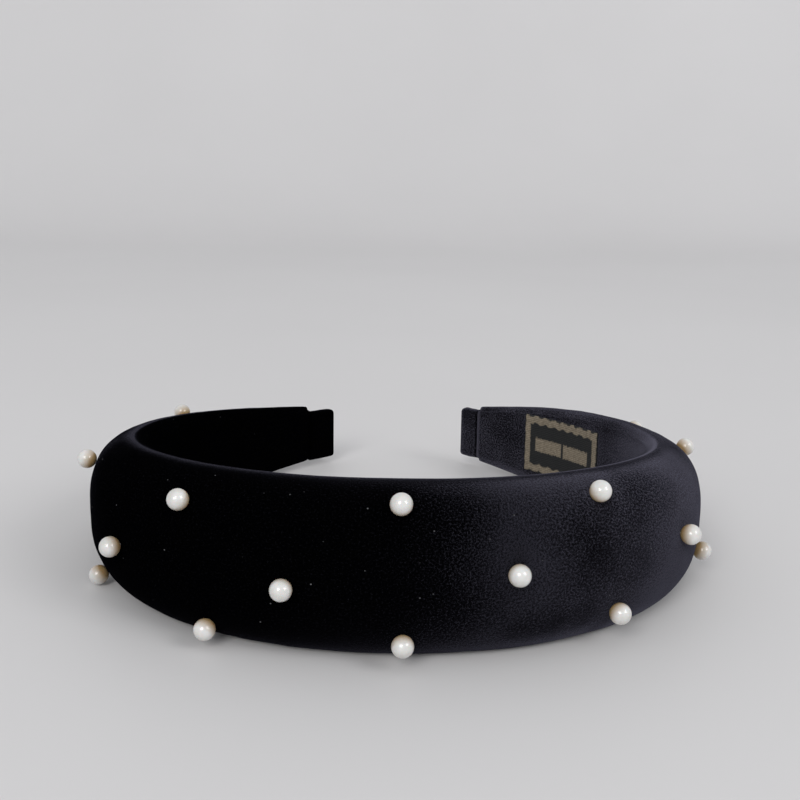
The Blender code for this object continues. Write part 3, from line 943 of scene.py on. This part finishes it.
def core_material():
    """Moulded plastic with faint flow marks along it."""
    tree, shader, made = new_material("core_plastic")
    stretch = {0: cloth_vector(tree), 1: (25.0, 400.0, 1.0)}
    stretched = node(tree, "VectorMath", stretch, operation="MULTIPLY").outputs[0]
    flow = noise_value(tree, stretched, scale=1.0, detail=3.0, roughness=0.5)
    link(tree, mix_colour(tree, flow, CORE_DARK, CORE_LIGHT), shader, "Base Color")
    link(tree, remap(tree, flow, 0.3, 0.7, 0.34, 0.5), shader, "Roughness")
    link(tree, bump(tree, flow, 0.15, 0.0002), shader, "Normal")
    return made


def pearl_material():
    """Pearlescent lacquer over a plastic bead: satin white, with painted shade and painted reflection of the dark
    velvet, in tan, on the half that faces its seat.
    """
    tree, shader, made = new_material("pearl_lacquer")
    vector = object_vector(tree)
    drift = noise_value(tree, vector, scale=420.0, detail=2.0, roughness=0.5)
    fine = noise_value(tree, vector, scale=2600.0, detail=3.0, roughness=0.6)
    white = mix_colour(tree, remap(tree, drift, 0.35, 0.65), PEARL_DARK, PEARL_LIGHT)
    rise = node(tree, "SeparateXYZ", {"Vector": cloth_vector(tree)}).outputs["X"]
    # the half towards the seat is painted tan as shade and as reflection of the dark velvet
    link(tree, mix_colour(tree, remap(tree, rise, 0.5, -0.5), white, PEARL_SEAT_SHADE), shader, "Base Color")
    link(tree, remap(tree, fine, 0.3, 0.7, 0.3, 0.42), shader, "Roughness")
    link(tree, bump(tree, fine, 0.08, 0.0001), shader, "Normal")
    set_inputs(shader, {"Specular IOR Level": 0.6, "Coat Weight": 1.0, "Coat Roughness": 0.06,
                        "Sheen Weight": 0.05, "Sheen Roughness": 0.35, "Sheen Tint": PEARL_SHEEN_TINT,
                        "Subsurface Weight": 0.08, "Subsurface Scale": 0.0008})
    return made


def steel_material():
    """Bright wire, its finish a little uneven."""
    tree, shader, made = new_material("pin_steel")
    marks = noise_value(tree, object_vector(tree), scale=5200.0, detail=2.0, roughness=0.6)
    link(tree, mix_colour(tree, marks, STEEL_DARK, STEEL_LIGHT), shader, "Base Color")
    link(tree, remap(tree, marks, 0.3, 0.7, 0.22, 0.38), shader, "Roughness")
    set_inputs(shader, {"Metallic": 1.0})
    return made


def between(tree, value, low, high, soft):
    """1 where low < value < high, with soft edges."""
    rising = remap(tree, value, low - soft, low + soft)
    falling = remap(tree, value, high + soft, high - soft)
    return math_value(tree, "MULTIPLY", rising, falling)


def fray(tree, value, ragged, reach):
    """Moves an edge in and out by up to reach."""
    return math_value(tree, "ADD", value, remap(tree, ragged, 0.3, 0.7, -reach, reach))


def weave_value(tree, vector):
    """Threads both ways: weft across the label and warp along it."""
    weft = node(tree, "TexWave", {"Vector": vector, "Scale": 520.0, "Distortion": 1.5, "Detail": 2.0},
                wave_type="BANDS", bands_direction="Y").outputs["Fac"]
    warp = node(tree, "TexWave", {"Vector": vector, "Scale": 760.0, "Distortion": 2.0, "Detail": 2.0},
                wave_type="BANDS", bands_direction="X").outputs["Fac"]
    return math_value(tree, "MULTIPLY", weft, warp)


def label_material():
    """Damask ground with a plain scalloped border and two plain bars, and no lettering."""
    tree, shader, made = new_material("label_weave")
    vector = cloth_vector(tree)
    ragged = noise_value(tree, vector, scale=900.0, detail=2.0, roughness=0.6)
    parts = node(tree, "SeparateXYZ", {"Vector": vector})
    along = math_value(tree, "ABSOLUTE", parts.outputs["X"])
    across = math_value(tree, "ABSOLUTE", parts.outputs["Y"])
    from_end = math_value(tree, "SUBTRACT", (LABEL_END - LABEL_START) / 2, along)
    from_edge = math_value(tree, "SUBTRACT", LABEL_HEIGHT / 2, across)
    phase = math_value(tree, "MULTIPLY", parts.outputs["X"], 2 * math.pi / SCALLOP_LENGTH)
    scallop = math_value(tree, "MULTIPLY", math_value(tree, "COSINE", phase), SCALLOP_DEPTH)
    wavy_edge = math_value(tree, "ADD", from_edge, scallop)
    from_border = math_value(tree, "MINIMUM", from_end, wavy_edge)
    border = between(tree, fray(tree, from_border, ragged, BORDER_FRAY), *BORDER, PATTERN_SOFT)
    bar_across = between(tree, fray(tree, across, ragged, BAR_FRAY), -1.0, BAR_HALF_HEIGHT, PATTERN_SOFT)
    bar = math_value(tree, "MULTIPLY", bar_across, between(tree, along, *BAR_SPAN, PATTERN_SOFT))
    gold = math_value(tree, "MAXIMUM", border, bar)
    weave = weave_value(tree, vector)
    patchy = math_value(tree, "MULTIPLY", gold, remap(tree, ragged, 0.3, 0.6, 0.6, 1.0))
    ground = mix_colour(tree, weave, GROUND_DARK, GROUND_LIGHT)
    thread = mix_colour(tree, weave, THREAD_DARK, THREAD_LIGHT)
    link(tree, mix_colour(tree, patchy, ground, thread), shader, "Base Color")
    link(tree, remap(tree, weave, 0.0, 1.0, 0.85, 0.65), shader, "Roughness")
    link(tree, bump(tree, math_value(tree, "ADD", weave, gold), 0.5, 0.0002), shader, "Normal")
    return made


def floor_material():
    """Plain pale matt floor."""
    tree, shader, made = new_material("pale_floor")
    drift = noise_value(tree, object_vector(tree), scale=3.0, detail=3.0, roughness=0.5)
    link(tree, mix_colour(tree, drift, FLOOR_DARK, FLOOR_LIGHT), shader, "Base Color")
    set_inputs(shader, {"Roughness": 0.55})
    return made


# ---- assembly --------------------------------------------------------------------------------------------

def body_of_node(name):
    """The CAD body that a node belongs to."""
    bodies = frame["record"]["behaviour"]["bodies"]
    return next(body for body in bodies if name in bodies[body])


def finish_piece(piece, material, slot, *nodes):
    """Gives a piece its material and hides the CAD nodes it stands for. The slot is not used."""
    piece.data.materials.append(material)
    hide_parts(*nodes)


def arc_of(point):
    """How far along the band a point is, from the middle of the crown."""
    def gap(arc):
        offset = band_point(arc, cover_depth(arc), 0.0) - point
        return math.hypot(offset.x, offset.y)
    return min(steps(-HALF_LENGTH, HALF_LENGTH, ARC_SEARCH), key=gap)


def bend_with_cover(piece, centre, own_body):
    """A small rigid piece on the bending stretch turns with the cover under it, and rides otherwise."""
    share = (arc_of(centre) + BEND_HALF) / (2 * BEND_HALF)
    if 0.0 < share < 1.0:
        start = (centre.x, centre.y, centre.z - LONG * share)
        end = (centre.x, centre.y, centre.z + LONG * (1 - share))
        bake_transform(piece, *BODIES, start=start, end=end)
    else:
        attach(piece, own_body)


def bend_along_band(piece):
    """A long piece bends along its own length, by its cloth's arc.
    """
    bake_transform(piece, *BODIES, start=BEND_START, end=BEND_END)
    weights = piece.data.attributes["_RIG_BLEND"].data
    for weight, row in zip(weights, piece.data.attributes["cloth"].data):
        weight.value = smooth_share(row.vector.x, -BEND_HALF, BEND_HALF)


def halves(name):
    """The two CAD nodes of a piece that the joint splits."""
    return [name + "_left", name + "_right"]


def build_headband():
    """All the pieces, with their materials, bodies and cloth."""
    cover = velvet_cover()
    finish_piece(cover, velvet("velvet_pile", VELVET_SHEEN), "velvet", *halves("velvet_cover"))
    lining = lining_ribbon()
    finish_piece(lining, velvet("lining_pile", LINING_SHEEN), "lining", *halves("lining_ribbon"))
    foam = foam_pad()
    finish_piece(foam, foam_material(), "foam", *halves("foam_pad"))
    core = spring_core()
    finish_piece(core, core_material(), "core_plastic", *halves("spring_core"))
    for piece in (cover, lining, foam, core):
        bend_along_band(piece)

    label = woven_label()
    finish_piece(label, label_material(), "label", "woven_label")
    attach(label, "right_half")

    sleeve_velvet = velvet("sleeve_velvet_pile", LINING_SHEEN)
    for side, body in ((-1, "left_half"), (1, "right_half")):
        sleeve = tip_sleeve(side)
        finish_piece(sleeve, sleeve_velvet, "sleeve_velvet", sleeve.name.replace("soft", "tip"))
        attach(sleeve, body)

    lacquer = pearl_material()
    steel = steel_material()
    for name, (centre, axis) in SEATS.items():
        own_body = body_of_node("pearl_" + name)
        bead = pearl(name, centre, axis)
        finish_piece(bead, lacquer, "pearl", "pearl_" + name)
        stem = pin(name, centre, axis)
        finish_piece(stem, steel, "pin_steel", "pin_" + name)
        for piece in (bead, stem):
            bend_with_cover(piece, centre, own_body)


def studio():
    """Plain pale floor that sweeps up behind the object."""
    bm = bmesh.new()
    profile = [(FLOOR_FRONT, 0.0), (FLOOR_MIDDLE, 0.0), (FLOOR_BACK, 0.0)]
    for angle in steps(0.0, math.pi / 2, SWEEP_STEPS)[1:]:
        along, up = math.sin(angle), 1 - math.cos(angle)
        profile.append((FLOOR_BACK + SWEEP_RADIUS * along, SWEEP_RADIUS * up))
    profile.append((FLOOR_BACK + SWEEP_RADIUS, WALL_TOP))
    rows = [[bm.verts.new((x, y, z)) for x in (-FLOOR_HALF_WIDTH, FLOOR_HALF_WIDTH)] for y, z in profile]
    for near, far in zip(rows, rows[1:]):
        bm.faces.new((near[0], near[1], far[1], far[0]))
    data = bpy.data.meshes.new("pale_floor")
    bm.to_mesh(data)
    bm.free()
    data.shade_smooth()
    floor = bpy.data.objects.new("pale_floor", data)
    bpy.context.scene.collection.objects.link(floor)
    data.materials.append(floor_material())


def softbox(name, azimuth, power, colour):
    """Square light aimed at the object. Azimuth 0 is the camera's side, positive to the right."""
    a, e = math.radians(azimuth), math.radians(WINDOW_ELEVATION)
    direction = Vector((math.sin(a) * math.cos(e), -math.cos(a) * math.cos(e), math.sin(e)))
    data = bpy.data.lights.new(name, "AREA")
    data.shape = "SQUARE"
    data.size = WINDOW_SIZE
    data.energy = power
    data.color = colour
    made = bpy.data.objects.new(name, data)
    made.location = direction * WINDOW_DISTANCE
    made.rotation_euler = direction.to_track_quat("Z", "Y").to_euler()
    bpy.context.scene.collection.objects.link(made)


def light():
    """Two windows and an even sky."""
    for window in WINDOWS:
        softbox(*window)
    world = bpy.data.worlds.new("studio")
    world.use_nodes = True
    set_inputs(world.node_tree.nodes["Background"], {"Color": SKY, "Strength": SKY_STRENGTH})
    bpy.context.scene.world = world
    bpy.context.scene.view_settings.view_transform = "Standard"


def camera():
    """The photograph's view: from in front of the crown, a little above it, looking down."""
    data = bpy.data.cameras.new("view")
    data.sensor_width = VIEW_SENSOR
    data.lens = VIEW_LENS
    made = bpy.data.objects.new("view", data)
    yaw = Matrix.Rotation(VIEW_YAW, 4, "Z")
    pitch = Matrix.Rotation(math.pi / 2 - VIEW_DOWN, 4, "X")
    roll = Matrix.Rotation(VIEW_ROLL, 4, "Z")
    made.matrix_world = Matrix.Translation(VIEW_PLACE) @ yaw @ pitch @ roll
    bpy.context.scene.collection.objects.link(made)
    bpy.context.scene.camera = made


camera()
studio()
light()
build_headband()
